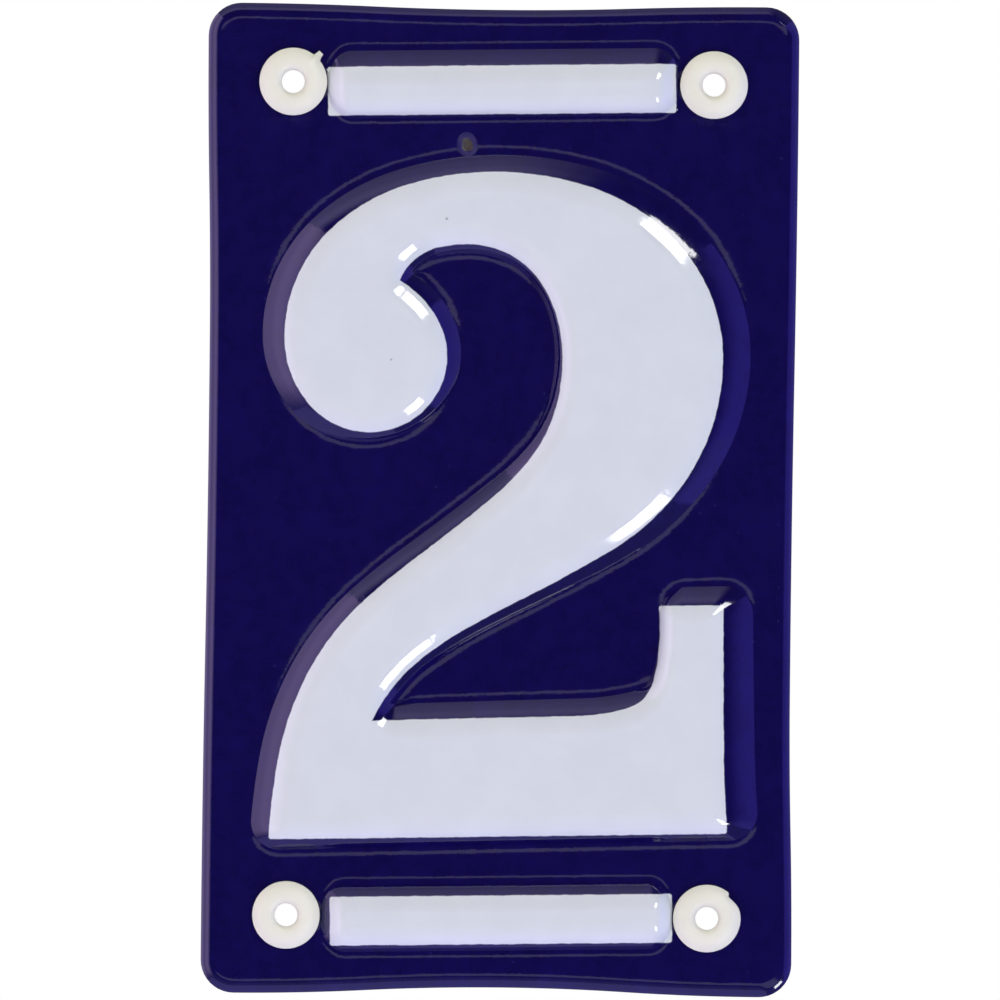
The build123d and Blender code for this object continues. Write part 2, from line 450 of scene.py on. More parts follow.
def reverse_curve(start, end, way):
    """Two arcs that bend to and fro between two points, running along the same way at both."""
    middle = (start + end) / 2
    first = Arc(start, middle, way)
    return [first, Arc(middle, end, way_at(first, middle))]


def box_stops(x, z, corner):
    """Where the sides of a box with round corners start and end, clockwise from the start of its top."""
    top = ((corner - x, z), (x - corner, z))
    right = ((x, z - corner), (x, corner - z))
    bottom = ((x - corner, -z), (corner - x, -z))
    left = ((-x, corner - z), (-x, z - corner))
    return np.array((*top, *right, *bottom, *left))


def draw_box(width, height, corner):
    """Outline of a rectangle with round corners about the middle."""
    stops = box_stops(width / 2, height / 2, corner)
    pairs = zip(stops, np.roll(stops, -1, axis=0), np.repeat(SIDE_WAYS, 2, axis=0))
    return Outline([Arc(*pair) for pair in pairs])


class PlateForm:
    """The pressed plate as outlines and as a height over its plane."""

    lean_reach = 3 * mm  # how far inside its section a wall can lean
    lean_rounds = 2  # of the search for a leaning wall's height
    halvings = 30  # in each of those rounds
    nudge = 0.01 * mm  # over which a slope is taken
    waves = ((0.31, 0.17, 0.8), (0.13, -0.27, 2.1), (-0.11, 0.47, 0.0))  # ripple: along x, along z, start
    border_fade, head_fade = 3 * mm, 2 * mm  # over which the ripple starts
    hole_fade = 0.5 * mm  # over which a dimple starts
    burst_turn, burst_stretch = radians(-15), (1.12, 0.92)
    lip_at, lip_width = 0.75, 0.22  # in radii of the burst spot, as are the next two
    hollow_floor, hollow_edge = 0.15, 0.62

    def __init__(self, scene):
        self.plate, self.relief, self.enamel = scene.plaque_plate, scene.plaque_relief, scene.plaque_enamel
        plate, relief, enamel = self.plate, self.relief, self.enamel
        self.head_radius = scene.plaque_bush.head_diameter / 2
        hole_x = plate.width / 2 - plate.hole_inset[0]
        hole_z = plate.height / 2 - plate.hole_inset[1]
        self.holes = [np.array((x, z)) for x in (-hole_x, hole_x) for z in (-hole_z, hole_z)]
        self.border = self.draw_border(plate.rim_reach)
        turn = relief.press_turn
        squeeze = (relief.bar_end_squeeze, relief.bar_side_squeeze)
        bar = draw_box(*(np.array(relief.bar_size) / squeeze), relief.bar_corner)
        pressed = self.draw_figure(relief.figure_grow, relief.figure_corner)
        drop = np.array((0, -enamel.figure_drop))
        slide, splay = np.array(relief.figure_shift) - drop, (relief.figure_splay, 1.0)
        self.reliefs = [Stamp(pressed, turn + relief.figure_turn, drop, (1.0, 1.0), slide, splay)]
        self.whites = [Stamp(self.draw_figure(0.0, enamel.corner), turn, drop)]
        lower = (-hole_z, enamel.bottom_bar_shift, enamel.bottom_bar_trim)
        for z, shift, trim in ((hole_z, enamel.top_bar_shift, 0.0), lower):
            white_bar = draw_box(enamel.bar_size[0] - trim, enamel.bar_size[1], enamel.corner)
            shift = np.array(shift)
            self.reliefs.append(Stamp(bar, turn, shift + (0, z), squeeze, -shift))
            self.whites.append(Stamp(white_bar, turn, shift + (0, z)))
        self.shape_profile()

    def to_size(self, x, z):
        """Point or vector of the figure's drawing in metres."""
        width, height = self.relief.figure_size
        return np.array((x * width / self.relief.drawn_aspect, z * height)) / 100

    def draw_figure(self, grow, corner):
        """Outline of the figure, grown by a margin, with its outer corners rounded."""
        arcs = []
        corners = []
        for (x0, z0, way0), (x1, z1, way1) in zip(FIGURE_DRAWING, FIGURE_DRAWING[1:] + FIGURE_DRAWING[:1]):
            start, end = self.to_size(x0, z0), self.to_size(x1, z1)
            chord = end - start
            ways = []
            for way in (way0, way1):
                drawn = None if way in (OUTER, INNER) else self.to_size(*along(radians(way)))
                ways.append(drawn if drawn is None else drawn / np.linalg.norm(drawn))
            if ways[0] is None and ways[1] is None:
                arcs.append(Arc(start, end, chord))
            elif ways[0] is None:
                arcs.append(Arc(start, end, 2 * chord * chord.dot(ways[1]) / chord.dot(chord) - ways[1]))
            elif ways[1] is None:
                arcs.append(Arc(start, end, ways[0]))
            else:
                arcs += two_arcs(start, ways[0], end, ways[1])
            if ways[1] is None:
                corners.append((len(arcs) - 1, way1))
        arcs = [moved(arc, grow) for arc in arcs]
        nooks = []
        for last, kind in reversed(corners):
            if kind == OUTER:
                arcs[last : last + 2] = rounded(arcs[last], arcs[last + 1], corner)
            else:
                arcs[last : last + 2] = crossed(arcs[last], arcs[last + 1])
                nooks.append(arcs[last : last + 2])
        return Outline(arcs, nooks)

    def draw_border(self, inset):
        """Outline of the plate, moved in by inset on all sides."""
        plate = self.plate
        x = plate.width / 2 - inset
        z = plate.height / 2 - inset
        corner = plate.corner - inset
        left_level = self.to_size(0, plate.left_dip_at)[1]
        right_level = self.to_size(0, plate.right_dip_at)[1]
        stops = box_stops(x, z, corner)
        dips = (
            (0, z - plate.top_dip),
            (x - plate.side_dip, right_level),
            (0, plate.bottom_dip - z),
            (plate.side_dip - x, left_level),
        )
        arcs = []
        for side, (dip, way) in enumerate(zip(np.array(dips), SIDE_WAYS)):
            start, end, next_start = stops[2 * side], stops[2 * side + 1], stops[(2 * side + 2) % len(stops)]
            arcs += reverse_curve(start, dip, way) + reverse_curve(dip, end, way)
            arcs.append(Arc(end, next_start, way))
        return Outline(arcs)

    def shape_profile(self):
        """Works out the arcs of the relief's section: crown, shoulder and the hollow at the foot."""
        relief = self.relief
        self.crown_run = relief.crown_radius * sin(relief.crown_slope)
        self.crown_drop = relief.crown_radius * (1 - cos(relief.crown_slope))
        self.rise_run = relief.rise_radius * sin(relief.rise_slope)
        self.rise = relief.rise_radius * (1 - cos(relief.rise_slope))
        left = relief.height - self.crown_drop - self.rise
        self.shoulder_radius = left / (cos(relief.crown_slope) - cos(relief.wall_slope))
        self.shoulder_run = self.shoulder_radius * (sin(relief.wall_slope) - sin(relief.crown_slope))

    def profile(self, distance):
        """Height of the relief at a distance outside the foot of its wall."""
        relief = self.relief
        out = np.clip(distance + self.crown_run + self.shoulder_run, 0, None)
        crown = np.clip(out, 0, self.crown_run)
        crown_drop = relief.crown_radius - np.sqrt(relief.crown_radius**2 - crown**2)
        start = self.shoulder_radius * sin(relief.crown_slope)
        shoulder = start + np.clip(out - self.crown_run, 0, self.shoulder_run)
        shoulder_top = np.sqrt(self.shoulder_radius**2 - start**2)
        shoulder_drop = shoulder_top - np.sqrt(self.shoulder_radius**2 - shoulder**2)
        rise = np.clip(self.rise_run - distance, 0, self.rise_run)
        low = relief.rise_radius - np.sqrt(relief.rise_radius**2 - rise**2)
        return np.where(distance < 0, relief.height - crown_drop - shoulder_drop, low)

    def low_at(self, offset):
        """Share of the way down from a raised face to the foot of its wall, at an offset from that foot."""
        height = self.relief.height
        return np.clip((height - self.profile(np.array(offset))) / (height - self.rise), 0, 1)

    def leaning(self, stamp, points, foot):
        """Height of points on a wall that leans because its outline shifts on the way down to the foot."""
        top = stamp.distance(points, 0.0)
        bend = 0.0
        for _ in range(self.lean_rounds):
            low = self.halved(top, foot - top, bend)
            straight = top + (foot - top) * low
            bend = (stamp.distance(points, low) - straight) / np.maximum(low * (1 - low), 1e-3)
        low = self.halved(top, foot - top, bend)
        return self.relief.height - low * (self.relief.height - self.rise)

    def halved(self, top, change, bend):
        """Share of the way down where a parabola of distance over that share fits the section, by halving."""
        low, high = np.zeros(len(top)), np.ones(len(top))
        for _ in range(self.halvings):
            middle = (low + high) / 2
            inside = self.low_at(top + change * middle + bend * middle * (1 - middle)) < middle
            low, high = np.where(inside, low, middle), np.where(inside, middle, high)
        return (low + high) / 2

    def raised(self, points):
        """Height of the relief."""
        found = np.zeros(len(points))
        for stamp in self.reliefs:
            foot = stamp.distance(points)
            height = self.profile(foot)
            wall = (foot < 0) & (foot > -self.crown_run - self.shoulder_run - self.lean_reach)
            height[wall] = self.leaning(stamp, points[wall], foot[wall])
            found = np.maximum(found, height)
        return found

    def ring_offsets(self, crown, shoulder, hollow):
        """Offsets from the foot of a wall that take so many steps over each arc of the section."""
        top = -self.crown_run - self.shoulder_run
        parts = (
            np.linspace(top, -self.shoulder_run, crown, endpoint=False),
            np.linspace(-self.shoulder_run, 0, shoulder),
            np.linspace(0, self.rise_run, hollow)[1:],
        )
        return np.concatenate(parts)

    def distances(self, points):
        """Distance of each point from the foot of the relief and from the edge of the white enamel."""
        relief = np.min([stamp.distance(points) for stamp in self.reliefs], axis=0)
        white = np.min([stamp.distance(points) for stamp in self.whites], axis=0)
        return relief, white

    def from_burst(self, points):
        """Distance from the burst spot in its radii."""
        away = turned(points - np.array(self.enamel.burst), self.burst_turn) * self.burst_stretch
        return np.linalg.norm(away, axis=1) / self.enamel.burst_radius

    def front(self, points):
        """Depth y of the plate's front over its plane."""
        plate, enamel = self.plate, self.enamel
        height = self.raised(points)
        inside = np.clip(-self.border.distance(points) / self.border_fade, 0, 1)
        dip = np.zeros(len(points))
        for hole in self.holes:
            away = np.linalg.norm(points - hole, axis=1)
            height = height * smooth(away, self.head_radius, self.head_radius + self.relief.seat_clear)
            ground = 1 - smooth(away, plate.hole_radius, plate.dimple_radius)
            dip = dip + plate.dimple * ground * np.clip((away - plate.hole_radius) / self.hole_fade, 0, 1)
            inside = inside * np.clip((away - self.head_radius) / self.head_fade, 0, 1)
        burst = self.from_burst(points)
        lip = enamel.burst_lip * np.exp(-(((burst - self.lip_at) / self.lip_width) ** 2))
        hollow = enamel.burst_depth * (1 - smooth(burst, self.hollow_floor, self.hollow_edge))
        x, z = points[:, 0] / mm, points[:, 1] / mm
        waves = sum(np.sin(along_x * x + along_z * z + start) for along_x, along_z, start in self.waves)
        ripple = plate.ripple * (waves + len(self.waves)) / (2 * len(self.waves)) * inside
        return ripple + dip + hollow - lip - height

    def front_normals(self, points):
        """Normals of the plate's front, from its slope."""
        slopes = []
        for way in ((self.nudge, 0), (0, self.nudge)):
            slopes.append((self.front(points + way) - self.front(points - way)) / (2 * self.nudge))
        normals = np.column_stack((slopes[0], -np.ones(len(points)), slopes[1]))
        return normals / np.linalg.norm(normals, axis=1)[:, None]


# Meshes

# Steps over each arc of the relief's section, along its rings and between the points of the fill
FINE = ((6, 7, 5), 0.45 * mm, 1.3 * mm)
COARSE = ((3, 4, 3), 0.8 * mm, 2.0 * mm)
FOOT_SHARE = 0.6  # step along the foot of a wall, by the one along the other rings
WHITE_RINGS = (-0.12 * mm, 0.0, 0.12 * mm)  # offsets from the edge of the white
SPOT_SIDE, SPOT_RADIUS = 3.6 * mm, 1.7 * mm  # finer points on the burst spot
SPOT_CLEAR = 1.4  # radii of the burst spot that the fill keeps off
DIMPLE_START, DIMPLE_STEP, DIMPLE_POINTS = 3.2 * mm, 0.6 * mm, 56  # rings in the dimple round a hole
SEAT_RINGS, SEAT_POINTS = 4, 120  # rings round a bush head
HOLE_POINTS, HOLE_CLEAR = 48, 0.2 * mm
BORDER_STEP, BORDER_CLEAR = 0.6 * mm, 0.25 * mm
HEAD_POINTS = 144
RIM_STEPS, EDGE_STEPS, DOME_STEPS = 6, 3, 9  # over a bend of the rim, a hole's edge and a head's dome
MERGE_REACH = 0.03  # millimetres within which points of the plane become one
CREASE_REACH = 0.03 * mm  # from the foot of a wall, where the front has a crease

# Small forms
CORNER_FADE = (cos(radians(34)), cos(radians(14)))  # from the other corners' rim to a soft or tight one
BACK_FALL, BACK_BEND = 0.1 * mm, 0.5 * mm  # of the rim's inner side
HEAD_LIFT = 0.1 * mm  # of a head's edge, before it is rounded
MOUTH_SHARE = 0.9  # of a bore's mouth that is rounded
GATE_SOFT = 0.25  # share of a gate stub's half width, to either side of its edge, over which it rises
STEP_END = radians(3)  # over which a trimmed head's step ends
CHANGE_SHARES = (0.72, 0.97)  # of a head's radius between which its edge starts to stand out or in
HEAD_BACK = 0.01 * mm  # behind this is the shank


def hexagonal(width, height, step):
    """Points of a hexagonal grid about the middle."""
    across, up = (np.arange(-size / 2, size / 2, step) for size in (width, height))
    grid = np.stack(np.meshgrid(across, up), axis=2)
    grid[1::2, :, 0] += step / 2
    return grid.reshape(-1, 2)


def circle(count):
    """Unit vectors round a circle."""
    turn = np.arange(count) * 2 * pi / count
    return np.column_stack((np.cos(turn), np.sin(turn)))


def mesh_points(form, step, rings, fill):
    """Points of the plate's plane: rings along the relief and the white's edge, and a fill between them."""
    plate = form.plate
    found = []
    for stamp in form.reliefs:
        for offset in rings:
            found.append(stamp.ring(offset, step if offset else step * FOOT_SHARE, form.low_at(offset)))
    found += [stamp.ring(offset, step) for stamp in form.whites for offset in WHITE_RINGS]
    spot = hexagonal(SPOT_SIDE, SPOT_SIDE, step / 3)
    found.append(spot[np.linalg.norm(spot, axis=1) < SPOT_RADIUS] + np.array(form.enamel.burst))
    grid = hexagonal(plate.width, plate.height, fill)
    relief, white = form.distances(grid)
    clear = ((relief < rings[0] - fill / 2) | (relief > rings[-1] + fill / 2)) & (np.abs(white) > fill / 3)
    found.append(grid[clear & (form.from_burst(grid) > SPOT_CLEAR)])
    for hole in form.holes:
        for radius in np.arange(DIMPLE_START, plate.dimple_radius, DIMPLE_STEP):
            found.append(hole + radius * circle(DIMPLE_POINTS))
        for radius in np.linspace(form.head_radius, form.head_radius + form.relief.seat_clear, SEAT_RINGS):
            found.append(hole + radius * circle(SEAT_POINTS))
    points = np.concatenate(found)
    keep = form.border.distance(points) < -BORDER_CLEAR
    for hole in form.holes:
        keep &= np.linalg.norm(points - hole, axis=1) > plate.hole_radius + plate.edge_round + HOLE_CLEAR
    return points[keep]


def triangulated(loops, points):
    """Triangles between an outer loop, inner loops and loose points: all the points, then the triangles."""
    edges = []
    start = 0
    for loop in loops:
        edges += [(start + corner, start + (corner + 1) % len(loop)) for corner in range(len(loop))]
        start += len(loop)
    flat = np.concatenate((*loops, points)) / mm
    made = delaunay_2d_cdt([Vector(point) for point in flat], edges, [], 0, MERGE_REACH)
    return np.array([tuple(vert) for vert in made[0]]) * mm, np.array(made[2])


class Shell:
    """Points, normals and faces of a mesh as they are put together."""

    def __init__(self):
        self.points, self.normals, self.faces, self.corners, self.materials = [], [], [], [], []
        self.count = 0

    def add(self, points, normals):
        """Adds points and gives the number of the first."""
        first = self.count
        self.points.append(points)
        self.normals.append(normals)
        self.count += len(points)
        return first

    def ring(self, line, outward, out, depth, aside, back):
        """Adds points moved out from a line or a point to a depth, with normals that lean aside and back."""
        normals = lifted(outward * np.reshape(aside, (-1, 1)), back)
        return self.add(lifted(line + outward * np.reshape(out, (-1, 1)), depth), normals)

    def face(self, corners, material=0, normals=None):
        """Adds one face, with normals of its own at its corners or those of its points."""
        self.faces.append(tuple(int(corner) for corner in corners))
        self.corners.append(normals)
        self.materials.append(material)

    def strip(self, one, other, count, material=0):
        """Adds the quads between two closed rings of points."""
        for start in range(count):
            after = (start + 1) % count
            self.face((one + start, one + after, other + after, other + start), material)

    def mesh(self, name, materials):
        """Makes the mesh, smooth with its own normals."""
        mesh = bpy.data.meshes.new(name)
        mesh.from_pydata(np.concatenate(self.points).tolist(), [], self.faces)
        for material in materials:
            mesh.materials.append(material)
        mesh.polygons.foreach_set("material_index", self.materials)
        mesh.shade_smooth()
        normals = np.concatenate(self.normals)
        corners = [normals[list(face)] if own is None else own for face, own in zip(self.faces, self.corners)]
        mesh.normals_split_custom_set(np.concatenate(corners).tolist())
        return mesh


def lifted(points, depth):
    """Points of the plate's plane at a depth y."""
    return np.column_stack((points[:, 0], np.broadcast_to(depth, len(points)), points[:, 1]))


def add_piece(mesh, node):
    """Object of a mesh that stands for a CAD node."""
    piece = bpy.data.objects.new(mesh.name, mesh)
    bpy.context.scene.collection.objects.link(piece)
    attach(piece, "root")
    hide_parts(node)


def plate_mesh(form, name, materials):
    """Mesh of the plate: its front, its rim, its back and its punched holes in one closed skin."""
    plate = form.plate
    shell = Shell()
    border, outward = form.border.points(BORDER_STEP)
    ways = circle(HOLE_POINTS)
    mouth = plate.hole_radius + plate.edge_round
    loops = [border] + [hole + ways * mouth for hole in form.holes]
    starts = []
    for (steps, step, fill), depth, facing in ((FINE, 0.0, 1), (COARSE, plate.sheet, -1)):
        points, triangles = triangulated(loops, mesh_points(form, step, form.ring_offsets(*steps), fill))
        normals = form.front_normals(points) * facing
        starts.append(shell.add(lifted(points, form.front(points) + depth), normals))
        middles = points[triangles].mean(axis=1)
        keep = form.border.distance(middles) < 0
        for hole in form.holes:
            keep &= np.linalg.norm(middles - hole, axis=1) > mouth
        triangles, middles = triangles[keep], middles[keep]
        normals = normals[triangles]
        creased = (np.abs(form.distances(points)[0]) < CREASE_REACH)[triangles]
        inwards = (points[triangles] + middles[:, None, :]) / 2
        normals[creased] = form.front_normals(inwards[creased]) * facing
        for triangle, own in zip(triangles + starts[-1], normals):
            shell.face(triangle[::facing], 0 if facing > 0 else 1, own[::facing])
    rim_rings(shell, form, border, outward, starts)
    start = len(border)
    for hole in form.holes:
        hole_rings(shell, form, hole, ways, starts[0] + start, starts[1] + start)
        start += len(ways)
    mesh = shell.mesh(name, materials)
    points = np.concatenate(shell.points)
    flat = points[:, (0, 2)]
    add_measure(mesh, "white_edge", form.distances(flat)[1] / mm)
    add_measure(mesh, "cut_edge", (plate.rim_depth - points[:, 1]) / mm)
    add_measure(mesh, "burst", form.from_burst(flat))
    return mesh


def add_measure(mesh, name, values):
    """Keeps a measure of each point for the materials."""
    mesh.attributes.new(name, "FLOAT", "POINT").data.foreach_set("value", values)


def rim_rings(shell, form, border, outward, starts):
    """Adds the bent rim, from the front's border round its cut edge to the back's border."""
    plate = form.plate
    soft, tight = (smooth(outward @ along(at), *CORNER_FADE) for at in (plate.soft_at, plate.tight_at))
    shares = (1 - soft - tight, soft, tight)
    roundings = (
        (plate.rim_crease, plate.rim_bend),
        (plate.soft_crease, plate.soft_bend),
        (plate.tight_crease, plate.tight_bend),
    )
    sections = [rim_section(plate, crease, bend) for crease, bend in roundings]
    paths = [np.hstack(rounded_path(section, RIM_STEPS))[-2:0:-1] for section in sections]
    count = len(border)
    before = starts[0]
    for spots in zip(*paths):
        out, depth, aside, back = sum(spot[:, None] * share for spot, share in zip(spots, shares))
        size = np.hypot(aside, back)
        ring = shell.ring(border, outward, out, depth, aside / size, back / size)
        shell.strip(before, ring, count, 1 if spots[0][2] < 0 else 0)
        before = ring
    shell.strip(before, starts[1], count, 1)


def rim_section(plate, crease, bend):
    """Section of the rim from the back's border round its cut edge to the front's, as corners to round."""
    reach, edge = plate.rim_reach, plate.edge_round
    inner = reach - plate.sheet
    half_bend, half_turn = (plate.rim_end - plate.rim_start) / 2, (pi / 2 - plate.rim_end) / 2
    first = crease * tan((plate.rim_start - plate.rim_fall) / 2) + bend * tan(half_bend)
    last = bend * tan(half_bend) + plate.rim_turn * tan(half_turn)
    lead = plate.rim_lead * tan(plate.rim_fall / 2)
    bend_out = reach - last * cos(plate.rim_end)
    crease_out = bend_out - first * cos(plate.rim_start)
    crease_deep = (crease_out - lead) * tan(plate.rim_fall)
    bend_deep = crease_deep + first * sin(plate.rim_start)
    return (
        (0.0, plate.sheet, 0.0),
        (inner, plate.sheet + BACK_FALL, BACK_BEND),
        (inner, plate.rim_depth, edge),
        (reach, plate.rim_depth, edge),
        (reach, bend_deep + last * sin(plate.rim_end), plate.rim_turn),
        (bend_out, bend_deep, bend),
        (crease_out, crease_deep, crease),
        (lead, 0.0, plate.rim_lead),
        (0.0, 0.0, 0.0),
    )


def hole_rings(shell, form, hole, ways, front, back):
    """Adds the wall of a punched hole with its two rounded edges."""
    plate = form.plate
    edge = plate.edge_round
    front_turns = np.linspace(0, pi / 2, EDGE_STEPS + 1)[1:]
    back_turns = np.linspace(pi / 2, pi, EDGE_STEPS + 1)[:-1]
    path = [(turn, edge - edge * cos(turn)) for turn in front_turns]
    path += [(turn, plate.sheet - edge - edge * cos(turn)) for turn in back_turns]
    count = len(ways)
    before = front
    for turn, depth in path:
        radius = plate.hole_radius + edge - edge * sin(turn)
        ring = shell.ring(hole, ways, radius, depth, -sin(turn), -cos(turn))
        shell.strip(ring, before, count)
        before = ring
    shell.strip(back, before, count)


def rounded_path(corners, steps=4):
    """Closed path through corners (radius, depth, rounding), with normals out of the material on its left."""
    count = len(corners)
    points, normals = [], []
    for index, (*corner, rounding) in enumerate(corners):
        corner = np.array(corner)
        ways = []
        for start, end in ((corners[index - 1], corner), (corner, corners[(index + 1) % count])):
            way = np.array(end[:2]) - np.array(start[:2])
            ways.append(way / np.linalg.norm(way))
        first, last = leftwards(ways[0]), leftwards(ways[1])
        turn = bend_between(first, last)
        if rounding == 0:
            points.append(corner)
            normals.append((first + last) / np.linalg.norm(first + last))
            continue
        side = -1 if turn > 0 else 1
        centre = corner - ways[0] * rounding * tan(abs(turn) / 2) - side * rounding * first
        for share in np.linspace(0, 1, steps + 1):
            normal = turned(first, turn * share)
            points.append(centre + side * rounding * normal)
            normals.append(normal)
    return np.array(points), np.array(normals)


def bush_path(bush):
    """Section of a bush from the edge of its head over its dome, down the bore and up its outside."""
    head, bore = bush.head_diameter / 2, bush.bore / 2
    shank, bead = bush.shank_diameter / 2, bush.bead_diameter / 2
    small = bush.small_round
    mouth = bore + bush.bore_mouth
    across, down = head - mouth, bush.head_height - bush.head_edge
    dome_radius = (across**2 + down**2) / (2 * down)
    dome = []
    for out in np.linspace(head - bush.head_round, mouth, DOME_STEPS + 1):
        drop = dome_radius - sqrt(dome_radius**2 - (out - mouth) ** 2)
        dome.append((out, drop - bush.head_height, 0.0))
    return rounded_path(
        [(head, 0.0, small), (head, -bush.head_edge - HEAD_LIFT, bush.head_round)]
        + dome
        + [
            (bore, -bush.head_height, bush.bore_mouth * MOUTH_SHARE),
            (bore, bush.shank_end, small),
            (shank, bush.shank_end, small),
            (bead, bush.bead_start + bush.bead_edge, small),
            (bead, bush.bead_start, small),
            (shank, bush.bead_start, small),
            (shank, 0.0, small),
        ]
    )


def head_change(node, bush, turn):
    """How far the edge of a head stands out or in, at angles round it."""
    beside = (turn - bush.gate_at + pi) % (2 * pi) - pi
    if node == "bush_top_left":
        half = bush.gate_width / bush.head_diameter
        return bush.gate_length * (1 - smooth(np.abs(beside), half * (1 - GATE_SOFT), half * (1 + GATE_SOFT)))
    if node == "bush_bottom_right":
        runs_out = smooth(beside, -bush.step_spread, 0.0)
        return -bush.step_depth * runs_out * (1 - smooth(beside, 0.0, STEP_END))
    return np.zeros(len(turn))


def bush_mesh(bush, node, material):
    """Mesh of one bush, turned about the middle of its node."""
    low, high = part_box(node)
    middle = (low + high) / 2
    path, ways = bush_path(bush)
    round_ways = circle(HEAD_POINTS)
    change = head_change(node, bush, np.arange(HEAD_POINTS) * 2 * pi / HEAD_POINTS)
    inner, outer = (share * bush.head_diameter / 2 for share in CHANGE_SHARES)
    shell = Shell()
    rings = []
    for (radius, depth), (outward, back) in zip(path, ways):
        share = smooth(radius, inner, outer) if depth < HEAD_BACK else 0
        out = radius + change * share
        rings.append(shell.ring((middle.x, middle.z), round_ways, out, depth, outward, back))
    for one, other in zip(rings, rings[1:] + rings[:1]):
        shell.strip(one, other, HEAD_POINTS)
    return shell.mesh("screw_" + node, [material])


# Materials

DUST = (0.25, 0.23, 0.2, 1.0)
GRAIN_LEAST, GRAIN_CORE = 0.3, 0.45  # smallest grain by its size setting, and a grain's solid share
EDGE_WAVE, EDGE_SOFT = 1.1, 0.1  # millimetres: waves of a bare edge's border, and half of its softness
WHITE_SOFT = 0.07  # millimetres over which white turns to blue, to either side of its edge


def set_inputs(tree, node, inputs):
    """Sets a node's inputs, as values or as links from other sockets."""
    for name, value in inputs.items():
        if isinstance(value, bpy.types.NodeSocket):
            tree.links.new(value, node.inputs[name])
        else:
            node.inputs[name].default_value = value


def add_node(tree, kind, inputs=None, **settings):
    """Adds a shader node with its settings and its inputs."""
    node = tree.nodes.new("ShaderNode" + kind)
    for name, value in settings.items():
        setattr(node, name, value)
    set_inputs(tree, node, inputs or {})
    return node


def add_math(tree, operation, first, second=0.0):
    """Adds a math node and gives its output."""
    return add_node(tree, "Math", {0: first, 1: second}, operation=operation).outputs[0]


def add_range(tree, value, low, high, to_low=0.0, to_high=1.0):
    """Maps a value from one range to another, smoothly, and gives the output."""
    inputs = {"Value": value, "From Min": low, "From Max": high, "To Min": to_low, "To Max": to_high}
    return add_node(tree, "MapRange", inputs, interpolation_type="SMOOTHSTEP").outputs["Result"]


def add_mix(tree, factor, first, second, blend="MIX"):
    """Mixes two colours and gives the output."""
    inputs = {"Factor": factor, "A": first, "B": second}
    return add_node(tree, "Mix", inputs, data_type="RGBA", blend_type=blend).outputs["Result"]


def add_attribute(tree, name):
    """Reads a measure that the mesh keeps."""
    return add_node(tree, "Attribute", attribute_name=name).outputs["Fac"]


def new_group(name, inputs, outputs):
    """Empty node group with named number inputs and outputs: its tree and the inputs' sockets."""
    tree = bpy.data.node_groups.new(name, "ShaderNodeTree")
    for socket, default in inputs.items():
        made = tree.interface.new_socket(socket, in_out="INPUT", socket_type="NodeSocketFloat")
        made.default_value = default
    for socket in outputs:
        tree.interface.new_socket(socket, in_out="OUTPUT", socket_type="NodeSocketFloat")
    return tree, tree.nodes.new("NodeGroupInput").outputs


def end_group(tree, **outputs):
    """Links a group's outputs."""
    set_inputs(tree, tree.nodes.new("NodeGroupOutput"), outputs)
    return tree


def scaled_position(tree, size):
    """Position on the object in steps of a size in millimetres."""
    place_on = add_node(tree, "TexCoord").outputs["Object"]
    per_step = add_math(tree, "DIVIDE", 1 / mm, size)
    return add_node(tree, "VectorMath", {0: place_on, "Scale": per_step}, operation="SCALE").outputs["Vector"]


def unevenness_group():
    """Slow drift of a coat from place to place: a factor about 1, and a level from 0 to 1."""
    tree, given = new_group("unevenness", {"Size": 8.0, "Strength": 0.1}, ("Factor", "Level"))
    where = scaled_position(tree, given["Size"])
    noise = add_node(tree, "TexNoise", {"Vector": where, "Scale": 1.0, "Detail": 3.0, "Roughness": 0.55})
    level = add_range(tree, noise.outputs["Fac"], 0.25, 0.75)
    drift = add_math(tree, "MULTIPLY", add_math(tree, "SUBTRACT", level, 0.5), given["Strength"])
    factor = add_math(tree, "ADD", add_math(tree, "MULTIPLY", drift, 2.0), 1.0)
    return end_group(tree, Factor=factor, Level=level)


def grains_group():
    """Scattered round grains, such as bubbles, specks and dust: a mask."""
    tree, given = new_group("grains", {"Spacing": 2.0, "Size": 0.15, "Share": 0.4}, ("Mask",))
    cells = add_node(tree, "TexVoronoi", {"Vector": scaled_position(tree, given["Spacing"]), "Scale": 1.0})
    chance = add_node(tree, "SeparateColor", {"Color": cells.outputs["Color"]})
    radius = add_math(tree, "DIVIDE", given["Size"], given["Spacing"])
    radius = add_math(tree, "MULTIPLY", radius, add_math(tree, "ADD", chance.outputs["Green"], GRAIN_LEAST))
    core = add_math(tree, "MULTIPLY", radius, GRAIN_CORE)
    inside = add_range(tree, cells.outputs["Distance"], radius, core)
    chosen = add_math(tree, "LESS_THAN", chance.outputs["Red"], given["Share"])
    return end_group(tree, Mask=add_math(tree, "MULTIPLY", inside, chosen))


def bare_edge_group():
    """Where a coat has drawn back from the sheet's cut edge: a mask with a ragged border."""
    tree, given = new_group("bare_edge", {"Width": 0.6, "Ragged": 0.4}, ("Mask",))
    edge = add_attribute(tree, "cut_edge")
    where = scaled_position(tree, EDGE_WAVE)
    noise = add_node(tree, "TexNoise", {"Vector": where, "Scale": 1.0, "Detail": 4.0})
    shift = add_math(tree, "MULTIPLY", add_math(tree, "SUBTRACT", noise.outputs["Fac"], 0.5), given["Ragged"])
    border = add_math(tree, "ADD", edge, add_math(tree, "MULTIPLY", shift, 2.0))
    covered = add_math(tree, "ADD", given["Width"], EDGE_SOFT)
    bare = add_math(tree, "SUBTRACT", given["Width"], EDGE_SOFT)
    return end_group(tree, Mask=add_range(tree, border, covered, bare))


shared_effects = {"unevenness": unevenness_group, "grains": grains_group, "bare_edge": bare_edge_group}


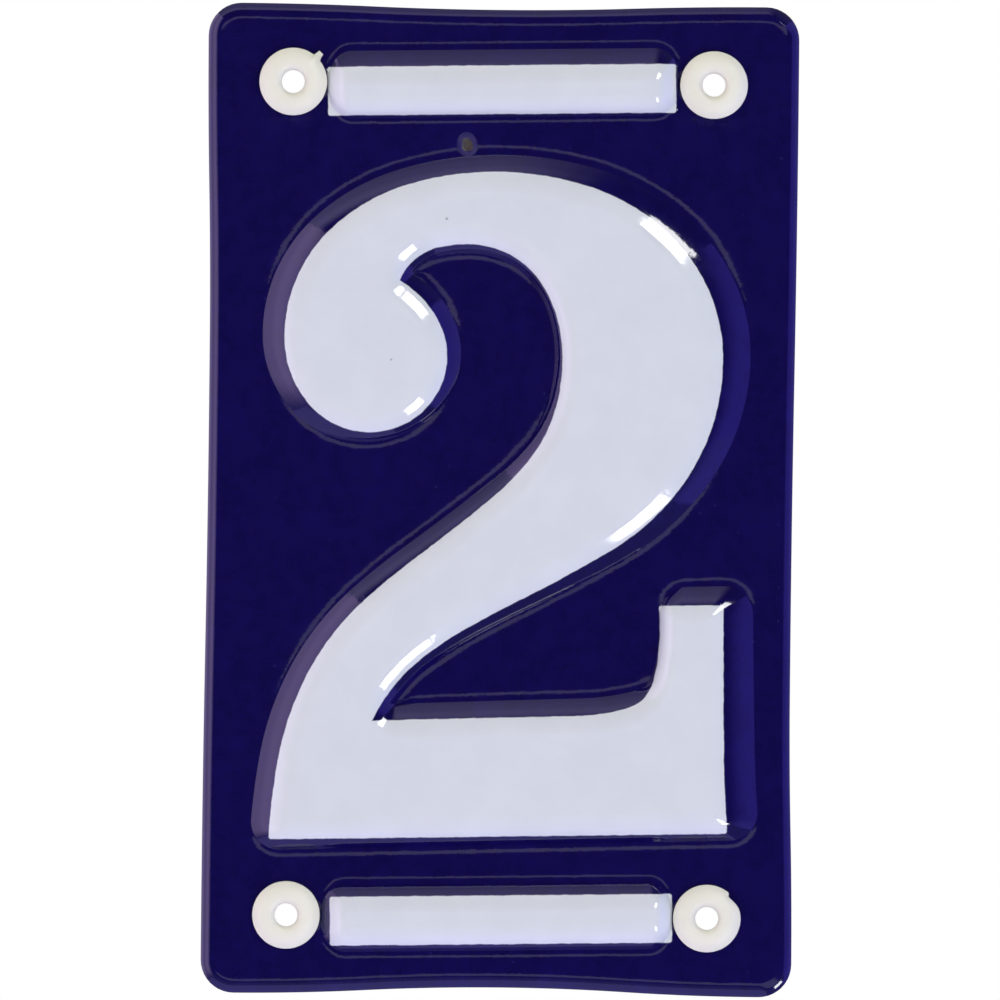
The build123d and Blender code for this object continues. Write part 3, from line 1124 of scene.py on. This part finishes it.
def add_effect(tree, name, **inputs):
    """Places a shared effect in a material with its own values and gives its outputs."""
    group = bpy.data.node_groups.get(name) or shared_effects[name]()
    return add_node(tree, "Group", inputs, node_tree=group).outputs


def add_level(tree, size):
    """Level from 0 to 1 that drifts from place to place."""
    return add_effect(tree, "unevenness", Size=size, Strength=0.0)["Level"]


def add_drift(tree, paint, size, strength):
    """Paint that is lighter and darker from place to place, and the level of that drift."""
    drift = add_effect(tree, "unevenness", Size=size, Strength=strength)
    return add_mix(tree, 1.0, paint, drift["Factor"], "MULTIPLY"), drift["Level"]


def add_grains(tree, paint, grain, strength, **sizes):
    """Paint with grains of another colour scattered in it, and the mask of the grains."""
    mask = add_effect(tree, "grains", **sizes)["Mask"]
    return add_mix(tree, add_math(tree, "MULTIPLY", mask, strength), paint, grain), mask


def new_material(name):
    """Empty material with its node tree and shader."""
    material = bpy.data.materials.new(name)
    material.use_nodes = True
    return material, material.node_tree, material.node_tree.nodes["Principled BSDF"]


def add_bump(tree, shader, distance, size, grains=0.0):
    """Raises a surface by up to a distance in metres, by a drift of a size and by grains."""
    height = add_math(tree, "ADD", add_level(tree, size), grains)
    bump = add_node(tree, "Bump", {"Height": height, "Distance": distance, "Strength": 1.0})
    set_inputs(tree, shader, {"Normal": bump.outputs["Normal"]})


def enamel_material(enamel):
    """Glossy glass enamel, white inside the stencilled edge and blue outside it."""
    material, tree, shader = new_material("glass_enamel")
    blue = add_drift(tree, enamel.blue, size=6.0, strength=0.1)[0]
    blue = add_drift(tree, blue, size=1.7, strength=0.12)[0]
    blue, bubbles = add_grains(tree, blue, enamel.pale_blue, strength=0.55, Spacing=1.6, Size=0.16, Share=0.3)
    white = add_drift(tree, enamel.white, size=5.0, strength=0.02)[0]
    white = add_grains(tree, white, enamel.ground_coat, strength=0.5, Spacing=7.0, Size=0.22, Share=0.22)[0]
    wobble = add_effect(tree, "unevenness", Size=1.3, Strength=0.04)["Factor"]
    edge = add_math(tree, "ADD", add_attribute(tree, "white_edge"), add_math(tree, "SUBTRACT", wobble, 1.0))
    coats = add_mix(tree, add_range(tree, edge, WHITE_SOFT, -WHITE_SOFT), blue, white)
    bare = add_effect(tree, "bare_edge", Width=3.0, Ragged=0.2)["Mask"]
    coats = add_mix(tree, bare, coats, enamel.ground_coat)
    burst = add_attribute(tree, "burst")
    # Painted reflection: a ring of paler blue over the burst spot's lip stands in for light mirrored on that
    # lip.
    thin = add_math(tree, "MULTIPLY", add_range(tree, burst, 1.25, 0.85), 0.55)
    coats = add_mix(tree, thin, coats, enamel.painted_lip_sheen)
    rust, crumbs = add_drift(tree, enamel.rust, size=0.35, strength=0.35)
    rusty = add_range(tree, add_math(tree, "ADD", burst, add_math(tree, "MULTIPLY", crumbs, 0.3)), 0.85, 0.65)
    coats = add_mix(tree, rusty, coats, rust)
    rough = add_range(tree, add_level(tree, size=3.0), 0.0, 1.0, 0.045, 0.075)
    dull_edge = add_math(tree, "MULTIPLY", bare, 0.3)
    dull_spot = add_math(tree, "MULTIPLY", rusty, 0.6)
    rough = add_math(tree, "ADD", rough, add_math(tree, "MAXIMUM", dull_edge, dull_spot))
    set_inputs(tree, shader, {"Base Color": coats, "Roughness": rough, "IOR": 1.7})
    add_bump(tree, shader, distance=0.006 * mm, size=2.2, grains=add_math(tree, "MULTIPLY", bubbles, 0.25))
    return material


def ground_coat_material(enamel):
    """Dark speckled first coat on the plate's back."""
    material, tree, shader = new_material("ground_coat")
    coat, level = add_drift(tree, enamel.ground_coat, size=11.0, strength=0.35)
    coat, grains = add_grains(tree, coat, enamel.speckle, strength=0.7, Spacing=0.9, Size=0.3, Share=0.55)
    bare = add_effect(tree, "bare_edge", Width=0.35, Ragged=0.4)["Mask"]
    coat = add_mix(tree, bare, coat, enamel.rust)
    rough = add_range(tree, level, 0.0, 1.0, 0.16, 0.34)
    rough = add_math(tree, "ADD", rough, add_math(tree, "MULTIPLY", bare, 0.3))
    set_inputs(tree, shader, {"Base Color": coat, "Roughness": rough})
    add_bump(tree, shader, distance=0.012 * mm, size=1.4, grains=add_math(tree, "MULTIPLY", grains, 0.5))
    return material


def bush_material(bush):
    """Semi-gloss moulded plastic."""
    material, tree, shader = new_material("moulded_plastic")
    plastic, cloud = add_drift(tree, bush.plastic, size=2.4, strength=0.018)
    plastic = add_grains(tree, plastic, DUST, strength=0.18, Spacing=1.7, Size=0.11, Share=0.25)[0]
    rough = add_range(tree, cloud, 0.0, 1.0, 0.34, 0.46)
    set_inputs(tree, shader, {"Base Color": plastic, "Roughness": rough})
    add_bump(tree, shader, distance=0.003 * mm, size=0.3)
    return material


# Operators


class PLAQUE_OT_plate(bpy.types.Operator):
    """Build the enamelled plate"""

    bl_idname = "plaque.plate"
    bl_label = "Enamelled Plate"

    def execute(self, context):
        enamel = context.scene.plaque_enamel
        materials = [enamel_material(enamel), ground_coat_material(enamel)]
        mesh = plate_mesh(PlateForm(context.scene), "pressed_plate", materials)
        add_piece(mesh, "enamelled_plate")
        return {"FINISHED"}


class PLAQUE_OT_bushes(bpy.types.Operator):
    """Build the four screw bushes"""

    bl_idname = "plaque.bushes"
    bl_label = "Screw Bushes"

    def execute(self, context):
        bush = context.scene.plaque_bush
        material = bush_material(bush)
        for node in bush_nodes:
            add_piece(bush_mesh(bush, node, material), node)
        return {"FINISHED"}


class PLAQUE_OT_stage(bpy.types.Operator):
    """Set up the camera, the lamps, the world and the floor"""

    bl_idname = "plaque.stage"
    bl_label = "Stage"

    def execute(self, context):
        stage = context.scene.plaque_stage
        place_camera(context.scene, stage)
        place_lamps(context.scene, stage)
        make_world(context.scene, stage)
        make_floor(context.scene, stage)
        context.scene.view_settings.view_transform = "Standard"
        return {"FINISHED"}


# Stage

# Strip lamps by name, with their turn about the view axis, anticlockwise from the right
STRIPS = {"strip_upper": radians(47), "strip_lower": radians(-47.5)}

# Other lamps by name: the setting for its brightness, its low and high corner, its aim and its tint
CARDS = {
    "card_left": ("left_light", (-0.6, -1.1, -0.58), (-0.6, 0.35, 0.6), (1, 0, 0), (0.775, 0.587, 1.0)),
    "card_top": ("top_light", (-0.6, -0.65, 0.6), (0.24, 0.15, 0.6), (0, 0, -1), (0.75, 0.68, 1.0)),
    "card_right": ("right_light", (0.6, -0.78, -0.5), (0.6, 0.3, 0.5), (-1, 0, 0), (0.154, 0.112, 1.0)),
    "card_bottom": ("bottom_light", (-0.6, -0.65, -0.52), (0.17, 0.15, -0.52), (0, 0, 1), (0.4, 0.36, 1.0)),
    "slit_upper": ("slit_light", (-0.8, -4.0, 0.294), (0.8, -4.0, 0.52), (0, 1, 0), (0.87, 0.82, 1.0)),
    "slit_lower": ("slit_light", (-0.8, -4.0, -0.79), (0.8, -4.0, -0.505), (0, 1, 0), (0.87, 0.82, 1.0)),
}

# How lamps fade: places along an axis and the shares of the brightness there
FADES = {
    "card_left": {
        "Y": ((-1.1, 0.0), (-0.42, 1.0), (-0.33, 0.8), (-0.13, 0.6), (0.1, 1.0)),
        "Z": ((-0.58, 0.0), (-0.2, 1.0)),
    },
    "card_top": {
        "Y": ((-0.65, 0.0), (-0.42, 1.0), (-0.265, 0.68), (-0.1, 0.41)),
        "X": ((-0.03, 1.0), (0.24, 0.0)),
    },
    "card_right": {"Y": ((-0.78, 0.0), (-0.48, 1.0))},
    "card_bottom": {"Y": ((-0.65, 0.0), (-0.4, 1.0))},
}

# Ranges of the world, as the y of a direction, and its light in mirrors there
BEHIND, BEHIND_LIGHT = (0.85, 0.98), (0.0, 0.85)
BESIDE, BESIDE_LIGHT = (-0.6, 0.1), (0.02, 0.15)
TURNING = (-0.1, 0.4)  # from the light in front to the light behind

WHITE = (1.0, 1.0, 1.0, 1.0)
FRONT_TINT = (1.0, 1.15, 0.2, 1.0)  # makes up for the bluish lamps
MIRRORED_TINT = (0.8, 0.76, 1.0, 1.0)
FLOOR_PAINT = (0.8, 0.8, 0.8, 1.0)
MIRRORED_FLOOR = (0.1, 0.1, 0.12, 1.0)
FLOOR_GLOW, FLOOR_LIGHT = (0.8, 0.8, 1.0, 1.0), 0.5
SENSOR = 0.036 / mm  # side of the camera's sensor, in millimetres


def place_camera(scene, stage):
    """Camera straight in front of the plate."""
    data = bpy.data.cameras.new("camera")
    data.sensor_width = data.sensor_height = SENSOR
    data.sensor_fit = "VERTICAL"
    data.lens = data.sensor_height * stage.camera_distance / stage.view_height
    data.clip_start = 0.01
    camera = bpy.data.objects.new("camera", data)
    looking = Matrix.Rotation(pi / 2, 4, "X") @ Matrix.Rotation(stage.camera_roll, 4, "Z")
    camera.matrix_world = Matrix.Translation((0, -stage.camera_distance, 0)) @ looking
    scene.collection.objects.link(camera)
    scene.camera = camera


def place_lamp(scene, name, low, high, aim, light, tint=(1.0, 1.0, 1.0), fades=None):
    """Rectangular lamp that fills the box from low to high, which is flat along its aim."""
    low, high = Vector(low), Vector(high)
    aim = Vector(aim)
    data = bpy.data.lights.new(name, "AREA")
    data.shape = "RECTANGLE"
    data.color = tint
    lamp = bpy.data.objects.new(name, data)
    turn = aim.to_track_quat("-Z", "Y")
    reach = turn.inverted() @ (high - low)
    data.size, data.size_y = abs(reach.x), abs(reach.y)
    data.energy = light * pi * data.size * data.size_y
    lamp.visible_camera = False
    lamp.location = (low + high) / 2
    lamp.rotation_euler = turn.to_euler()
    scene.collection.objects.link(lamp)
    if fades:
        fade_lamp(data, fades)


def fade_lamp(data, fades):
    """Shades a lamp along axes, each of which has places and the shares of the brightness there."""
    data.use_nodes = True
    tree = data.node_tree
    position = add_node(tree, "NewGeometry").outputs["Position"]
    parts = add_node(tree, "SeparateXYZ", {"Vector": position}).outputs
    brightness = 1.0
    for axis, stops in fades.items():
        level = stops[0][1]
        for (start, share), (end, other) in zip(stops, stops[1:]):
            change = add_range(tree, parts[axis], start, end, 0.0, other - share)
            level = add_math(tree, "ADD", level, change)
        brightness = add_math(tree, "MULTIPLY", brightness, level)
    set_inputs(tree, tree.nodes["Emission"], {"Strength": brightness})


def place_lamps(scene, stage):
    """Two strip lamps on the right, a large lamp on each side, and two slits by the camera."""
    for name, turn in STRIPS.items():
        out = Vector((cos(turn), 0, sin(turn)))
        across = Vector((-out.z, 0, out.x)) * stage.lamp_width / 2
        near = Vector((0, -stage.lamp_aside / tan(stage.lamp_near), 0))
        far = Vector((0, -stage.lamp_aside / tan(stage.lamp_far), 0))
        middle = out * stage.lamp_aside
        place_lamp(scene, name, middle - across + far, middle + across + near, -out, stage.lamp_light)
    for name, (setting, low, high, aim, tint) in CARDS.items():
        place_lamp(scene, name, low, high, aim, getattr(stage, setting), tint, FADES.get(name))


def make_world(scene, stage):
    """White for the camera, a dim studio in mirrors, and on dull surfaces a light in front and one behind."""
    world = bpy.data.worlds.new("studio")
    world.use_nodes = True
    tree = world.node_tree
    path = add_node(tree, "LightPath").outputs
    direction = add_node(tree, "TexCoord").outputs["Generated"]
    way = add_node(tree, "SeparateXYZ", {"Vector": direction}).outputs["Y"]
    behind = add_range(tree, way, *BEHIND, *BEHIND_LIGHT)
    studio = add_math(tree, "ADD", behind, add_range(tree, way, *BESIDE, *BESIDE_LIGHT))
    mirrored = add_math(tree, "MAXIMUM", path["Is Glossy Ray"], path["Is Transmission Ray"])
    seen = add_math(tree, "MAXIMUM", path["Is Camera Ray"], add_math(tree, "MULTIPLY", mirrored, studio))
    direct = add_math(tree, "MAXIMUM", path["Is Camera Ray"], mirrored)
    fill = add_range(tree, way, *TURNING, stage.ambient, stage.back_light)
    ambient = add_math(tree, "MULTIPLY", add_math(tree, "SUBTRACT", 1.0, direct), fill)
    neutral = add_math(tree, "MAXIMUM", path["Is Camera Ray"], add_range(tree, way, *TURNING))
    tint = add_mix(tree, mirrored, add_mix(tree, neutral, FRONT_TINT, WHITE), MIRRORED_TINT)
    light = add_math(tree, "ADD", seen, ambient)
    set_inputs(tree, tree.nodes["Background"], {"Strength": light, "Color": tint})
    scene.world = world


def make_floor(scene, stage):
    """Plain pale floor under the plate, which stays pale in every view."""
    half = stage.floor_size / 2
    level = plate_low.z - stage.floor_drop
    mesh = bpy.data.meshes.new("floor")
    corners = [(-half, -half, level), (half, -half, level), (half, half, level), (-half, half, level)]
    mesh.from_pydata(corners, [], [(0, 1, 2, 3)])
    material, tree, shader = new_material("pale_floor")
    path = add_node(tree, "LightPath").outputs
    paint = add_mix(tree, path["Is Glossy Ray"], FLOOR_PAINT, MIRRORED_FLOOR)
    glow = add_math(tree, "MULTIPLY", path["Is Camera Ray"], FLOOR_LIGHT)
    lit = {"Emission Color": FLOOR_GLOW, "Emission Strength": glow}
    set_inputs(tree, shader, {"Base Color": paint, "Roughness": 0.9, **lit})
    mesh.materials.append(material)
    floor = bpy.data.objects.new("floor", mesh)
    scene.collection.objects.link(floor)


setting_groups = {
    "plaque_plate": PlaquePlateSettings,
    "plaque_relief": PlaqueReliefSettings,
    "plaque_enamel": PlaqueEnamelSettings,
    "plaque_bush": PlaqueBushSettings,
    "plaque_stage": PlaqueStageSettings,
}
operators = (PLAQUE_OT_plate, PLAQUE_OT_bushes, PLAQUE_OT_stage)


class PLAQUE_PT_sidebar(bpy.types.Panel):
    """Buttons and settings of the plaque"""

    bl_label = "House Number Plaque"
    bl_idname = "PLAQUE_PT_sidebar"
    bl_space_type = "VIEW_3D"
    bl_region_type = "UI"
    bl_category = "Plaque"

    def draw(self, context):
        for operator in operators:
            self.layout.operator(operator.bl_idname)
        for name, group in setting_groups.items():
            box = self.layout.box()
            box.label(text=group.__doc__)
            for setting in group.__annotations__:
                box.prop(getattr(context.scene, name), setting)


classes = (*setting_groups.values(), *operators, PLAQUE_PT_sidebar)


def register():
    """Adds the classes and the scene's settings."""
    for cls in classes:
        bpy.utils.register_class(cls)
    for name, group in setting_groups.items():
        setattr(bpy.types.Scene, name, PointerProperty(type=group))


def unregister():
    """Takes the settings and the classes away again."""
    for name in setting_groups:
        delattr(bpy.types.Scene, name)
    for cls in reversed(classes):
        bpy.utils.unregister_class(cls)


def main():
    """Builds the plaque and its stage."""
    register()
    bpy.ops.plaque.plate()
    bpy.ops.plaque.bushes()
    bpy.ops.plaque.stage()


if __name__ == "__main__":
    main()
